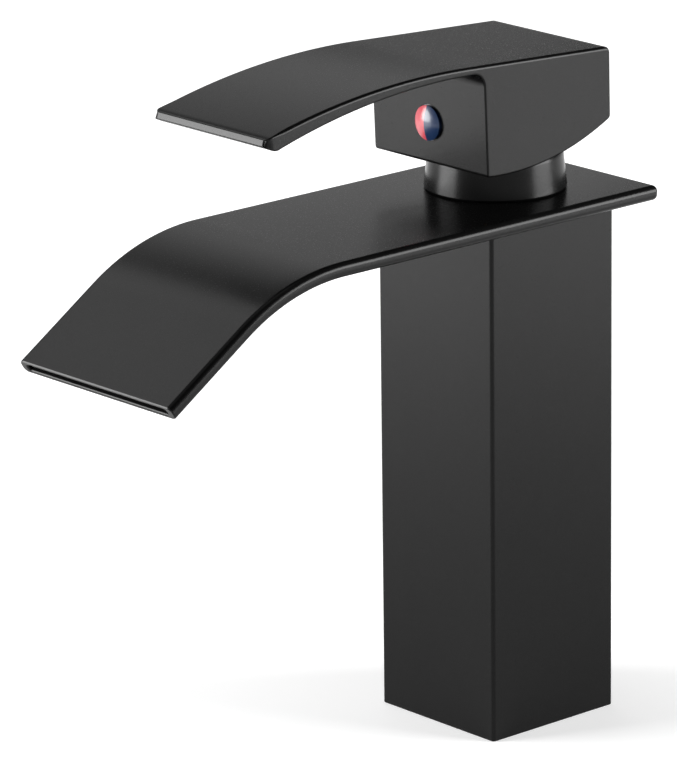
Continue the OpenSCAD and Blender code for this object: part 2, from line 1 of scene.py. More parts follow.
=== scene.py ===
# %% [markdown]
# # A waterfall basin faucet, dressed for its portrait
#
# The faucet was designed first as solid parts, in millimetres, with its moving
# joints. This lesson loads those parts as a fixed frame, gives every one a
# finish, and rebuilds the ones that the eye meets with the soft edges that real
# cast and painted metal has. Blender works in metres, so sizes are written in
# millimetres and multiplied by MM.

# %% Load the frame
import math

import bmesh
import bpy
from mathutils import Matrix, Vector


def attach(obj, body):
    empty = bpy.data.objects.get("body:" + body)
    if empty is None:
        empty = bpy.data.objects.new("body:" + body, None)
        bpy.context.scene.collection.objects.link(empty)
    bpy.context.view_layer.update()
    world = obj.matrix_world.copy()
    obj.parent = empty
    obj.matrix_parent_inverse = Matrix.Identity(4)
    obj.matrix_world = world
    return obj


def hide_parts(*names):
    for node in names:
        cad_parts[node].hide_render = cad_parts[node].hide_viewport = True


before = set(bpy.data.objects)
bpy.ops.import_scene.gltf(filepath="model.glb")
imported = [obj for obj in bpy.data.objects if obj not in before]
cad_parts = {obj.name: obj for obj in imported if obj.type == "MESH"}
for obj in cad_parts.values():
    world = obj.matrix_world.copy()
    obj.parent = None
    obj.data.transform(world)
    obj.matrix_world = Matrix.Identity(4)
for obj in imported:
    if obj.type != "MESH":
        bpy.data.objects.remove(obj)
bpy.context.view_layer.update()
MM = 0.001

# %% [markdown]
# ## Camera
#
# The camera stands to the right of the spout and a little above it, 1.4 m away,
# behind a long lens, so upright edges stay nearly parallel. Its place is worked
# out from an azimuth and an elevation round the faucet's middle, then slid
# sideways until the faucet sits in the frame as wanted. A turn about its own
# axis, the roll, straightens the last half degree.

# %% Place the camera
AZIMUTH, ELEVATION, ROLL = (math.radians(a) for a in (48.6449, 16.5382, -0.705))
AIM_HEIGHT = 80
DISTANCE = 1400.72
SLIDE_RIGHT, SLIDE_UP = -38.1545, 2.2084
FOCAL_PIXELS = 5789.8
PICTURE_HEIGHT = 764
SENSOR, NEAR_LIMIT, FAR_LIMIT = 36, 0.05, 50


def direction(azimuth, elevation):
    """Unit vector away from the faucet. Azimuth 0 is in front, towards -y."""
    flat = math.cos(elevation)
    return Vector((math.sin(azimuth) * flat, -math.cos(azimuth) * flat, math.sin(elevation)))


back = direction(AZIMUTH, ELEVATION)
level_right = Vector((math.cos(AZIMUTH), math.sin(AZIMUTH), 0))
level_up = back.cross(level_right)
right = level_right * math.cos(ROLL) + level_up * math.sin(ROLL)
up = -level_right * math.sin(ROLL) + level_up * math.cos(ROLL)

lens = bpy.data.cameras.new("portrait_camera")
lens.sensor_width = SENSOR
lens.lens = FOCAL_PIXELS * lens.sensor_width / PICTURE_HEIGHT
lens.clip_start, lens.clip_end = NEAR_LIMIT, FAR_LIMIT
camera = bpy.data.objects.new("portrait_camera", lens)
place = Vector((0, 0, AIM_HEIGHT)) + right * SLIDE_RIGHT + up * SLIDE_UP + back * DISTANCE
turned = Matrix((right, up, back)).transposed().to_4x4()
camera.matrix_world = Matrix.Translation(place * MM) @ turned
bpy.context.scene.collection.objects.link(camera)
bpy.context.scene.camera = camera
print("lens of", round(lens.lens, 1), "mm at", round(DISTANCE), "mm")

# %% [markdown]
# ## Helpers for finishes
#
# A colour picked from a chart is an sRGB hex value, and a shader wants linear
# light, so one function converts it. Another adds a node to a material, sets its
# options and wires its inputs, which keeps each recipe short enough to read.

# %% Colours and nodes
def linear(hex_colour):
    """Linear colour with alpha, from an sRGB hex value such as 2b2b2d."""
    parts = [int(hex_colour[i : i + 2], 16) / 255 for i in (0, 2, 4)]
    return tuple(p / 12.92 if p <= 0.04045 else ((p + 0.055) / 1.055) ** 2.4 for p in parts) + (1.0,)


def add_node(owner, kind, inputs=None, **options):
    """Adds a node. Each input takes a value, or another node's output to link."""
    node = owner.node_tree.nodes.new(kind)
    for name, value in options.items():
        setattr(node, name, value)
    for name, value in (inputs or {}).items():
        if isinstance(value, bpy.types.NodeSocket):
            owner.node_tree.links.new(value, node.inputs[name])
        else:
            node.inputs[name].default_value = value
    return node


def new_finish(name, **surface):
    """A material with one Principled surface, its sockets set by name."""
    finish = bpy.data.materials.new(name)
    finish.use_nodes = True
    shader = finish.node_tree.nodes["Principled BSDF"]
    for socket, value in surface.items():
        shader.inputs[socket.replace("_", " ")].default_value = value
    return finish, shader


def link(finish, output, shader, socket):
    """Links an output to one of the surface's sockets."""
    finish.node_tree.links.new(output, shader.inputs[socket])


# %% [markdown]
# ## Matte black coat
#
# The column, spout, bonnet and lever are brass under a baked black coat of the
# powder kind. Such a coat is a plastic film with a fine grain left by the
# powder's particles, which are 30 to 60 micrometres across. The grain spreads a
# reflection into a wide soft patch, so the eye reads dark metal-like shapes with
# smoky highlights and no mirror image. The film could be a metal shader, but
# then its highlights would be tinted and too strong: a dielectric with a low
# base colour and a middle roughness gives the right fall-off at grazing angles.

# %% Finish: matte black coat
def grain_height(finish, grain_mm, detail=2.0):
    """Noise whose grains are grain_mm across, in the object's own space."""
    where = add_node(finish, "ShaderNodeTexCoord")
    settings = {"Scale": 1 / (grain_mm * MM), "Detail": detail, "Roughness": 0.6}
    return add_node(finish, "ShaderNodeTexNoise", {"Vector": where.outputs["Object"], **settings})


def spread(owner, source, ends, levels, **options):
    """Maps a value between two ends to two levels."""
    limits = {"From Min": ends[0], "From Max": ends[1], "To Min": levels[0], "To Max": levels[1]}
    return add_node(owner, "ShaderNodeMapRange", {"Value": source, **limits}, **options).outputs["Result"]


# A mix node has one set of sockets per kind of value; these are its colours.
FIRST_COLOUR, SECOND_COLOUR, MIXED_COLOUR = 6, 7, 2


def mix_colours(finish, factor, first, second):
    """Mixes two colours by a factor from 0 to 1."""
    colours = {FIRST_COLOUR: linear(first), SECOND_COLOUR: linear(second)}
    mixed = add_node(finish, "ShaderNodeMix", {"Factor": factor, **colours}, data_type="RGBA")
    return mixed.outputs[MIXED_COLOUR]


def bump(finish, height, depth_mm, strength=1.0):
    """Turns a height from 0 to 1 into a bump depth_mm deep."""
    depth = {"Distance": depth_mm * MM, "Strength": strength}
    return add_node(finish, "ShaderNodeBump", {"Height": height, **depth}).outputs["Normal"]


# The powder's grain would be finer than a pixel, so it is drawn at 0.35 mm. A
# second, broad unevenness of 9 mm is the coat's slight change of thickness.
POWDER_GRAIN, POWDER_DEPTH, THICKNESS_DRIFT = 0.35, 0.006, 9.0
# Nearly all of a noise texture's values lie between these.
NOISE_ENDS = (0.3, 0.7)
matte_black_coat, film = new_finish("matte_black_coat", IOR=1.45, Metallic=0.0, Specular_IOR_Level=0.16)
powder = grain_height(matte_black_coat, POWDER_GRAIN).outputs["Fac"]
drift = grain_height(matte_black_coat, THICKNESS_DRIFT, 1.0).outputs["Fac"]
link(matte_black_coat, mix_colours(matte_black_coat, drift, "0c0c0c", "0f0f0f"), film, "Base Color")
link(matte_black_coat, spread(matte_black_coat, powder, NOISE_ENDS, (0.22, 0.28)), film, "Roughness")
link(matte_black_coat, bump(matte_black_coat, powder, POWDER_DEPTH), film, "Normal")
print("made", matte_black_coat.name)

# %% [markdown]
# ## Index button
#
# The button is a moulded acrylic dome in a red and a blue half. Acrylic is clear
# and smooth, so the colour below looks deep. The highlight is pale and has soft
# edges, so the skin is drawn a little short of mirror-smooth. A thin coat layer
# over a soft-coloured base does that without real glass, which would need light
# to pass through a piece 1 mm thick.

# %% Finish: red and blue acrylic
def acrylic(name, edge_hex, heart_hex):
    """Glossy dome, deeper in colour where the eye meets it at a slant."""
    gloss = {"Roughness": 0.3, "IOR": 1.49, "Specular_IOR_Level": 0.3}
    finish, shader = new_finish(name, Coat_Weight=0.35, Coat_Roughness=0.16, **gloss)
    slant = add_node(finish, "ShaderNodeLayerWeight", {"Blend": 0.4}).outputs["Facing"]
    link(finish, mix_colours(finish, slant, heart_hex, edge_hex), shader, "Base Color")
    return finish


red_acrylic = acrylic("red_moulded_acrylic", "a32b3c", "c9525a")
blue_acrylic = acrylic("blue_moulded_acrylic", "0b1426", "1d3357")
print("made", red_acrylic.name, "and", blue_acrylic.name)

# %% [markdown]
# ## Finishes of the works inside
#
# Behind the coat are machined brass, nitrile rubber seals, acetal plastic,
# alumina discs and stainless steel. They show when the lever lifts or when the
# parts are taken apart, so each has its own recipe. Machined metal keeps the
# lathe's fine rings, rubber is dull with a dusty bloom, acetal is waxy, and
# lapped alumina is smooth and slightly warm.

# %% Finish: machined metals
# The wave texture draws 10 / pi waves per unit at scale 1, so this draws one.
WAVE_SCALE = 0.314


def turned_metal(name, low_hex, high_hex, roughness, ring_mm):
    """Metal from a lathe: fine rings round the upright axis."""
    finish, shader = new_finish(name, Metallic=1.0)
    where = add_node(finish, "ShaderNodeTexCoord")
    lines = {"Scale": WAVE_SCALE / (ring_mm * MM), "Distortion": 0.4, "Detail": 1.0}
    kind = {"wave_type": "BANDS", "bands_direction": "Z"}
    wave = add_node(finish, "ShaderNodeTexWave", {"Vector": where.outputs["Object"], **lines}, **kind)
    rings = wave.outputs["Fac"]
    stain = grain_height(finish, 6.0).outputs["Fac"]
    link(finish, mix_colours(finish, stain, low_hex, high_hex), shader, "Base Color")
    link(finish, spread(finish, rings, (0, 1), (roughness, roughness + 0.1)), shader, "Roughness")
    link(finish, bump(finish, rings, 0.01, 0.5), shader, "Normal")
    return finish


machined_brass = turned_metal("machined_brass", "b98f45", "cfa75c", 0.26, 0.4)
stainless_steel = turned_metal("turned_stainless_steel", "a9abad", "c2c4c6", 0.24, 0.3)
print("made", machined_brass.name, "and", stainless_steel.name)


# %% Finish: rubber, plastics and ceramic
def moulded(name, low_hex, high_hex, roughness, grain_mm, depth_mm, **surface):
    """A moulded or pressed material with an even grain."""
    finish, shader = new_finish(name, **surface)
    grain = grain_height(finish, grain_mm).outputs["Fac"]
    duller = spread(finish, grain, NOISE_ENDS, (roughness - 0.04, roughness + 0.04))
    link(finish, mix_colours(finish, grain, low_hex, high_hex), shader, "Base Color")
    link(finish, duller, shader, "Roughness")
    link(finish, bump(finish, grain, depth_mm), shader, "Normal")
    return finish


waxy = {"Subsurface_Weight": 0.1, "Subsurface_Scale": 0.002}
nitrile_rubber = moulded("moulded_nitrile_rubber", "151515", "1e1e1e", 0.62, 0.5, 0.01, IOR=1.52)
white_acetal = moulded("moulded_white_acetal", "dcd8ce", "e6e2d9", 0.38, 0.4, 0.004, IOR=1.48, **waxy)
blue_acetal = moulded("moulded_blue_acetal", "2b5590", "33609e", 0.38, 0.4, 0.004, IOR=1.48)
black_abs = moulded("moulded_black_abs", "1b1b1d", "232325", 0.34, 0.3, 0.004, IOR=1.53)
lapped_alumina = moulded("lapped_alumina", "ece8dd", "f1eee5", 0.2, 0.6, 0.001, IOR=1.76)
print("made five moulded and pressed finishes")

# %% [markdown]
# ## Shapes from rings
#
# Every coated piece is drawn as closed rings of points that follow one another,
# as a hull is drawn from its frames. Rings give exact control of each rounded
# edge: a plain box with a bevel would do for the column, but not for the spout,
# whose section follows a bend. Holes and hollows are then cut with solid
# cutters, as they would be bored or cast.

# %% Mesh helpers
EDGE_STEPS = 6


def rounded_ring(width, height, radius, steps=EDGE_STEPS):
    """Points of a rounded rectangle about the origin, in mm, anticlockwise."""
    points = []
    for corner, (sx, sy) in enumerate([(1, 1), (-1, 1), (-1, -1), (1, -1)]):
        for step in range(steps + 1):
            turn = math.pi / 2 * (corner + step / steps)
            x = sx * (width / 2 - radius) + radius * math.cos(turn)
            y = sy * (height / 2 - radius) + radius * math.sin(turn)
            points.append((x, y))
    return points


def add_piece(name, mesh_maker, body, finish, stands_for):
    """Finishes a bmesh into a piece that rides on a body and stands for nodes."""
    mesh = bpy.data.meshes.new(name)
    bmesh.ops.recalc_face_normals(mesh_maker, faces=mesh_maker.faces)
    mesh_maker.to_mesh(mesh)
    mesh_maker.free()
    piece = bpy.data.objects.new(name, mesh)
    bpy.context.scene.collection.objects.link(piece)
    mesh.materials.append(finish)
    if body:
        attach(piece, body)
        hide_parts(*stands_for)
    return piece


def join_rings(maker, rings, cap_first=True, cap_last=True):
    """Skins rings of equal length, in mm, and closes the ends."""
    loops = [[maker.verts.new(Vector(point) * MM) for point in ring] for ring in rings]
    for near, far in zip(loops, loops[1:]):
        for i in range(len(near)):
            j = (i + 1) % len(near)
            maker.faces.new((near[i], near[j], far[j], far[i]))
    if cap_first:
        maker.faces.new(loops[0])
    if cap_last:
        maker.faces.new(loops[-1])
    return loops


def solid_between(rings):
    """A closed solid from its rings, for a cutter."""
    maker = bmesh.new()
    join_rings(maker, rings)
    return maker


def circle(radius, steps):
    """Points of a circle about the origin."""
    turns = (2 * math.pi * i / steps for i in range(steps))
    return [(radius * math.cos(turn), radius * math.sin(turn)) for turn in turns]


def upright_cylinder(radius, low, high, steps=96):
    """A plain cylinder about the z axis, for a cutter."""
    return solid_between([[(x, y, z) for x, y in circle(radius, steps)] for z in (low, high)])


def upright_block(half_x, half_y, low, high):
    """A plain block about the z axis, for a cutter."""
    corners = [(-half_x, -half_y), (half_x, -half_y), (half_x, half_y), (-half_x, half_y)]
    return solid_between([[(x, y, z) for x, y in corners] for z in (low, high)])


def cut(piece, cutter_shape):
    """Cuts a solid away from a piece for good, and throws the cutter out."""
    cutter = add_piece("cutter", cutter_shape, None, piece.data.materials[0], ())
    tool = piece.modifiers.new("cut", "BOOLEAN")
    tool.operation, tool.solver, tool.object = "DIFFERENCE", "EXACT", cutter
    bake(piece)
    bpy.data.objects.remove(cutter)


def bake(piece):
    """Applies the modifiers of a piece to its mesh."""
    seen = piece.evaluated_get(bpy.context.evaluated_depsgraph_get())
    mesh = bpy.data.meshes.new_from_object(seen)
    piece.modifiers.clear()
    piece.data = mesh


def smooth_shading(piece, sharp_angle=35):
    """Smooth shading, with edges sharper than the angle kept, and flats flat."""
    piece.data.shade_smooth()
    piece.data.set_sharp_from_angle(angle=math.radians(sharp_angle))
    weighted = piece.modifiers.new("flat_faces_stay_flat", "WEIGHTED_NORMAL")
    weighted.keep_sharp = True
    weighted.weight = 100
    print(piece.name, "has", len(piece.data.polygons), "faces")


# %% [markdown]
# ## Column
#
# The column is a square brass tube, 40 mm wide, cast with a web at its top. Its
# upright edges are only just broken, so they show as a thin bright line beside a
# thin dark one. It is drawn as one rounded ring that rises in steps, with a
# small break at the foot, and the hollow and the hole for the neck are cut.

# %% Build the column
COLUMN_WIDTH, COLUMN_HEIGHT, COLUMN_WALL, COLUMN_EDGE = 40, 127.7, 3, 0.95
WEB, FOOT_BREAK = 4.5, 0.3
NECK_HOLE, SEAL_WIDTH, SEAL_DEPTH = 15.15, 2.6, 1.0
OVERRUN = 1


def column_ring(inset, z):
    """The column's outline at one height."""
    width = COLUMN_WIDTH - 2 * inset
    return [(x, y, z) for x, y in rounded_ring(width, width, COLUMN_EDGE - inset)]


foot_turns = (0, math.pi / 6, math.pi / 3, math.pi / 2)
rings = [column_ring(FOOT_BREAK * (1 - math.sin(a)), FOOT_BREAK * (1 - math.cos(a))) for a in foot_turns]
rings += [column_ring(0, COLUMN_HEIGHT)]
shape = solid_between(rings)
column = add_piece("square_column", shape, "faucet", matte_black_coat, ("column",))
inner = COLUMN_WIDTH / 2 - COLUMN_WALL
above = COLUMN_HEIGHT + OVERRUN
cut(column, upright_block(inner, inner, -OVERRUN, COLUMN_HEIGHT - WEB))
cut(column, upright_cylinder(NECK_HOLE, COLUMN_HEIGHT - WEB - OVERRUN, above))
cut(column, upright_cylinder(NECK_HOLE + SEAL_WIDTH, COLUMN_HEIGHT - SEAL_DEPTH, above))
smooth_shading(column)

# %% [markdown]
# ## Waterfall spout
#
# The spout is pressed from two brass sheets, joined along their edges, ground
# and coated, so no seam shows. Water runs in the flat channel between them and
# falls from the slot at the lip. One section is carried along the spout: flat,
# round the bend, and straight to the lip. The back end and its corners are
# rounded as the long edges are, which the rings do by shrinking towards the end.
# The lip is cut square. Its outer edges are filed to a narrow slant and the
# slot's are rounded, which gives the thin bright line above the dark slot.

# %% Follow the spout
SPOUT_WIDTH, SPOUT_DEPTH, SPOUT_EDGE = 54.4, 3.7, 1.5
SPOUT_TOP = COLUMN_HEIGHT + SPOUT_DEPTH
SPOUT_BACK, BEND_START, BEND_RADIUS, LIP_RUN = 28.3, 71.6, 57, 26.4
FALL = math.radians(33.4)
CHANNEL_SIDE, CHANNEL_DEPTH, CHANNEL_EDGE, CHANNEL_END = 2.2, 1.7, 0.8, 3.5
BACK_EDGE, LIP_BREAK, LIP_DROP, CHANNEL_BREAK = 1.3, 0.26, 0.22, 0.5
BEND_STEPS = 28
# The last ring before the slant stands this far behind it and holds the edge.
LIP_HOLD = 0.06


def along_spout(distance):
    """Top-face point and slope at a distance from the back end."""
    flat = SPOUT_BACK + BEND_START
    arc = BEND_RADIUS * FALL
    if distance <= flat:
        return SPOUT_BACK - distance, SPOUT_TOP, 0.0
    turn = min((distance - flat) / BEND_RADIUS, FALL)
    y = -BEND_START - BEND_RADIUS * math.sin(turn)
    z = SPOUT_TOP - BEND_RADIUS * (1 - math.cos(turn))
    rest = max(distance - flat - arc, 0)
    return y - rest * math.cos(FALL), z - rest * math.sin(FALL), turn


SPOUT_LENGTH = SPOUT_BACK + BEND_START + BEND_RADIUS * FALL + LIP_RUN


def spout_ring(distance, width, depth, radius):
    """A rounded section across the spout, centred on the middle of its depth."""
    y, z, turn = along_spout(distance)
    ring = [(x, d - SPOUT_DEPTH / 2) for x, d in rounded_ring(width, depth, radius)]
    return [(x, y - d * math.sin(turn), z + d * math.cos(turn)) for x, d in ring]


print("the spout's top face is", round(SPOUT_LENGTH, 1), "mm long")


# %% Build the spout
def outer_ring(distance, inset=0.0):
    """The spout's outside, shrunk by an inset near an end."""
    width, depth = SPOUT_WIDTH - 2 * inset, SPOUT_DEPTH - 2 * inset
    return spout_ring(distance, width, depth, SPOUT_EDGE - inset)


def channel_ring(distance, outset=0.0):
    """The water channel, widened by an outset at the slot."""
    width = SPOUT_WIDTH - 2 * CHANNEL_SIDE + 2 * outset
    return spout_ring(distance, width, CHANNEL_DEPTH + 2 * outset, CHANNEL_EDGE + outset)


quarter = [math.pi / 2 * i / EDGE_STEPS for i in range(EDGE_STEPS + 1)]
back_round = [(BACK_EDGE * (1 - math.sin(a)), BACK_EDGE * (1 - math.cos(a))) for a in reversed(quarter)]
slot_round = [(CHANNEL_BREAK * (1 - math.cos(a)), CHANNEL_BREAK * (1 - math.sin(a))) for a in quarter[::2]]
bend_from, bend_length = SPOUT_BACK + BEND_START, BEND_RADIUS * FALL
bend_places = [bend_from + bend_length * i / BEND_STEPS for i in range(BEND_STEPS + 1)]
slant = SPOUT_LENGTH - LIP_BREAK
rings = [outer_ring(*step) for step in back_round]
rings += [outer_ring(place) for place in bend_places]
rings += [outer_ring(slant - LIP_HOLD), outer_ring(slant), outer_ring(SPOUT_LENGTH, LIP_DROP)]
rings += [channel_ring(SPOUT_LENGTH - before, outset) for before, outset in slot_round]
rings += [channel_ring(place) for place in reversed(bend_places)] + [channel_ring(CHANNEL_END)]
replaced = ("spout_tray", "spout_cover")
spout = add_piece("waterfall_spout", solid_between(rings), "faucet", matte_black_coat, replaced)
cut(spout, upright_cylinder(NECK_HOLE, COLUMN_HEIGHT - OVERRUN, SPOUT_TOP + OVERRUN))
smooth_shading(spout)

# %% [markdown]
# ## Bonnet
#
# The bonnet is turned: a shallow cone with a rounded top edge, a rounded foot
# that tucks in under it, and a bore that clears the neck and the cartridge's
# nut. A turned piece is drawn as half a section and spun, as on the lathe.

# %% Turn the bonnet
BONNET_FOOT, BONNET_RADIUS, BONNET_HEIGHT, BONNET_CROWN, FOOT_ROUND = 17.2, 16.4, 10.1, 2.0, 0.7
NECK_RADIUS, NECK_RISE, NUT_RADIUS, NUT_ROOM = 15.05, 5.9, 14.6, 8.6
TOP_HOLE, SEAL_RING, SEAL_THICK = 11.2, 16.3, 0.8


def turn_on_lathe(section, steps=160):
    """Spins a closed half section, radius and height in mm, about the z axis."""
    maker = bmesh.new()

    def point(r, z, turn):
        return maker.verts.new(Vector((r * math.cos(turn), r * math.sin(turn), z)) * MM)

    columns = [[point(r, z, 2 * math.pi * i / steps) for r, z in section] for i in range(steps)]
    for i, near in enumerate(columns):
        far = columns[(i + 1) % steps]
        for j in range(len(section)):
            k = (j + 1) % len(section)
            maker.faces.new((near[j], far[j], far[k], near[k]))
    return maker


foot = [(BONNET_FOOT - FOOT_ROUND * (1 - math.sin(a)), FOOT_ROUND * (1 - math.cos(a))) for a in quarter]
top_round = [(BONNET_CROWN * (1 - math.cos(a)), BONNET_CROWN * (1 - math.sin(a))) for a in quarter]
crown = [(BONNET_RADIUS - inward, BONNET_HEIGHT - down) for inward, down in top_round]
bore = [(TOP_HOLE, BONNET_HEIGHT), (TOP_HOLE, NUT_ROOM), (NUT_RADIUS, NUT_ROOM), (NUT_RADIUS, NECK_RISE)]
bore += [(NECK_RADIUS, NECK_RISE), (NECK_RADIUS, SEAL_THICK), (SEAL_RING, SEAL_THICK)]
section = [(r, SPOUT_TOP + z) for r, z in [(SEAL_RING, 0)] + foot + crown + bore]
shape = turn_on_lathe(section)
bonnet = add_piece("bonnet_ring", shape, "faucet", matte_black_coat, ("bonnet",))
smooth_shading(bonnet, 50)

# %% [markdown]
# ## Lever
#
# The lever is one brass casting: a crowned blade that grows out of a hollow
# hood. Its side outline holds every curve: the crown along the top, the straight
# roof, the hood's shallow belly, the fillet in the corner, and the hollow arc
# under the blade. So the outline is drawn once and its corners are softened.
# Then it is carried across the width, and near each side it shrinks by a
# quarter turn, which rounds the edges: 0.8 mm along the top, less elsewhere. A
# bevel tool could do that too, but on the thin blade and the small fillet it
# would have to shrink every edge to the smallest.

# %% Draw the lever's outline
HANDLE_HALF = 19.9
CROWN_Y, CROWN_RADIUS, CROWN_TOP = -37.4, 204, SPOUT_TOP + 37.0
ROOF_SLOPE = math.radians(2.9)
ROOF_Y = CROWN_Y + CROWN_RADIUS * math.sin(ROOF_SLOPE)
ROOF_Z = CROWN_TOP - CROWN_RADIUS * (1 - math.cos(ROOF_SLOPE))
TIP_Y, TIP_FACE, TIP_LEAN, TIP_BEVEL, TIP_DROP = -89.3, 1.9, -0.5, 2.8, 1.3
UNDER_Y, UNDER_RADIUS, UNDER_TOP = -32.5, 188, CROWN_TOP - 2.2
HOOD_LOW, FRONT, BACK, FRONT_LEAN, BACK_LEAN = SPOUT_TOP + 8.9, 20.8, 19.3, 0.9, 0.5
BELLY_Y, BELLY_RADIUS, FILLET, HOOD_WALL, ROOF_THICK = -14, 72.5, 3.5, 2.4, 3.0
ARC_STEPS = 40


# Each stretch of the outline is a height at a given y. The hood's front and back
# walls lean, so theirs is a y at a given height.
def crown_z(y):
    return CROWN_TOP - CROWN_RADIUS + math.sqrt(CROWN_RADIUS**2 - (y - CROWN_Y) ** 2)


def roof_z(y):
    return ROOF_Z - (y - ROOF_Y) * math.tan(ROOF_SLOPE)


def under_z(y):
    return UNDER_TOP - UNDER_RADIUS + math.sqrt(UNDER_RADIUS**2 - (y - UNDER_Y) ** 2)


def belly_z(y):
    return HOOD_LOW + BELLY_RADIUS - math.sqrt(BELLY_RADIUS**2 - (y - BELLY_Y) ** 2)


def front_y(z):
    return -FRONT - FRONT_LEAN * (z - HOOD_LOW) / (ROOF_Z - HOOD_LOW)


def back_y(z):
    return BACK - BACK_LEAN * (z - HOOD_LOW) / (ROOF_Z - HOOD_LOW)


def steps_between(low, high, count=ARC_STEPS):
    return [low + (high - low) * i / count for i in range(count + 1)]


tip_start = TIP_Y - min(TIP_LEAN, 0)
tip_top = crown_z(tip_start)
tip_low = tip_top - TIP_FACE - TIP_DROP
# The blade's underside starts where its hollow arc meets the tip's low edge.
under_start = UNDER_Y - math.sqrt(UNDER_RADIUS**2 - (tip_low - UNDER_TOP + UNDER_RADIUS) ** 2)
fillet_y = front_y(ROOF_Z) - FILLET
fillet_z = under_z(fillet_y) - FILLET
fillet = [(fillet_y + FILLET * math.sin(a), fillet_z + FILLET * math.cos(a)) for a in quarter]
hood_back, hood_front = back_y(belly_z(BACK)), front_y(belly_z(-FRONT))

# The straight roof has points along it too, so that the flat sides can be filled
# with well-shaped triangles between the upper and the lower edge.
outline = [(y, crown_z(y)) for y in steps_between(tip_start, ROOF_Y)]
outline += [(y, roof_z(y)) for y in steps_between(ROOF_Y, back_y(roof_z(BACK)))][1:]
outline += [(y, belly_z(y)) for y in steps_between(hood_back, hood_front)]
outline += fillet[::-1]
outline += [(y, under_z(y)) for y in steps_between(fillet_y, under_start)][1:]
outline += [(TIP_Y + TIP_BEVEL, tip_low), (TIP_Y + max(TIP_LEAN, 0), tip_top - TIP_FACE)]


def soften(points, corner, reach_before, reach_after, steps=6):
    """Rounds one corner of a closed outline, from some mm before to after it."""
    at = min(range(len(points)), key=lambda i: math.dist(points[i], corner))

    def walk(step, left):
        i, after_i = at, (at + step) % len(points)
        while math.dist(points[i], points[after_i]) < left:
            left -= math.dist(points[i], points[after_i])
            i, after_i = after_i, (after_i + step) % len(points)
        here, there = Vector(points[i]), Vector(points[after_i])
        return i, here + (there - here).normalized() * left

    last, before = walk(-1, reach_before)
    first, after = walk(1, reach_after)
    middle = Vector(points[at])
    shares = [i / steps for i in range(steps + 1)]
    curve = [before * (1 - t) ** 2 + middle * 2 * t * (1 - t) + after * t**2 for t in shares]
    kept = (last - first - 1) % len(points)
    return [tuple(v) for v in curve] + [points[(first + 1 + i) % len(points)] for i in range(kept)]


for corner, reach_before, reach_after in [
    ((tip_start, tip_top), 0.4, 1.6),
    ((TIP_Y, tip_top - TIP_FACE), 0.4, 0.4),
    ((TIP_Y + TIP_BEVEL, tip_low), 0.8, 0.8),
    ((back_y(ROOF_Z), roof_z(BACK)), 1.5, 1.5),
    ((hood_back, belly_z(hood_back)), 0.8, 0.8),
    ((hood_front, belly_z(hood_front)), 0.8, 0.8),
]:
    outline = soften(outline, corner, reach_before, reach_after)
print("the lever's outline has", len(outline), "points")

# %% Give the lever its width and its rounded sides
TOP_ROUND, UPRIGHT_ROUND, UNDER_ROUND, TIP_ROUND, TIP_CORNER = 0.8, 0.45, 0.6, 0.3, 1.2
# A ring this far from each edge holds the flat beside it flat.
HOLD = 0.06
# The sides' rounding is TIP_ROUND up to the first length behind the tip, and then
# grows to its full size over the second.
ROUND_FROM, ROUND_OVER = 1, 4


def outward(points, i):
    """Direction out of the outline at one of its points."""
    along = Vector(points[(i + 1) % len(points)]) - Vector(points[i - 1])
    return Vector((-along.y, along.x)).normalized()


def behind_tip(y, z):
    """How far a point of the outline lies behind the tip's face."""
    return max(y - TIP_Y - TIP_LEAN * (tip_top - z) / TIP_FACE + min(TIP_LEAN, 0), 0)


def side_round(y, z, out):
    """Radius of the rounding between the outline and the lever's side."""
    towards = TOP_ROUND if out.y > 0 else UNDER_ROUND
    full = UPRIGHT_ROUND + (towards - UPRIGHT_ROUND) * abs(out.y)
    grown = min(max((behind_tip(y, z) - ROUND_FROM) / ROUND_OVER, 0), 1)
    return TIP_ROUND + (full - TIP_ROUND) * grown


def half_width(y, z):
    """Half the lever's width, which rounds off in plan at the tip."""
    inward = max(TIP_CORNER - behind_tip(y, z), 0)
    return HANDLE_HALF - TIP_CORNER + math.sqrt(TIP_CORNER**2 - inward**2)


def lever_ring(side, sideways, shrink, held):
    """The outline near one side. Sideways and shrink are shares of the radius."""
    ring = []
    for i, (y, z) in enumerate(outline):
        out = outward(outline, i)
        radius = side_round(y, z, out)
        inset = radius * shrink + (HOLD if held > 0 else 0)
        x = half_width(y, z) - radius * sideways - (HOLD if held < 0 else 0)
        ring.append((side * x, y - out.x * inset, z - out.y * inset))
    return ring


side_rings = [(1, 0, -1)] + [(1 - math.sin(a), 1 - math.cos(a), 0) for a in quarter] + [(0, 1, 1)]
rings = [lever_ring(-1, *ring) for ring in reversed(side_rings)]
rings += [lever_ring(1, *ring) for ring in side_rings]
maker = bmesh.new()
loops = join_rings(maker, rings, False, False)


def close_side(loop):
    """Fills a side with triangles between its upper and its lower edge."""
    tip_end, back_end = (pick(range(len(loop)), key=lambda i: loop[i].co.y) for pick in (min, max))
    count = len(loop)
    upper = [loop[(tip_end + i) % count] for i in range((back_end - tip_end) % count + 1)]
    lower = [loop[(tip_end - i) % count] for i in range((tip_end - back_end) % count + 1)]
    i = j = 0
    while i < len(upper) - 1 or j < len(lower) - 1:
        go_up = j == len(lower) - 1 or (i < len(upper) - 1 and upper[i + 1].co.y <= lower[j + 1].co.y)
        corner = upper[i + 1] if go_up else lower[j + 1]
        if len({upper[i], lower[j], corner}) == 3:
            maker.faces.new((upper[i], lower[j], corner))
        i, j = (i + 1, j) if go_up else (i, j + 1)


close_side(loops[0])
close_side(loops[-1])
lever = add_piece("hooded_lever", maker, "lever", matte_black_coat, ("handle",))
print("the lever has", len(lever.data.polygons), "faces before it is hollowed")

# %% [markdown]
# Inside the hood hangs a boss with a square socket for the stem. The hollow is
# cut round it, and then the socket, the screw's bore and the button's recess.

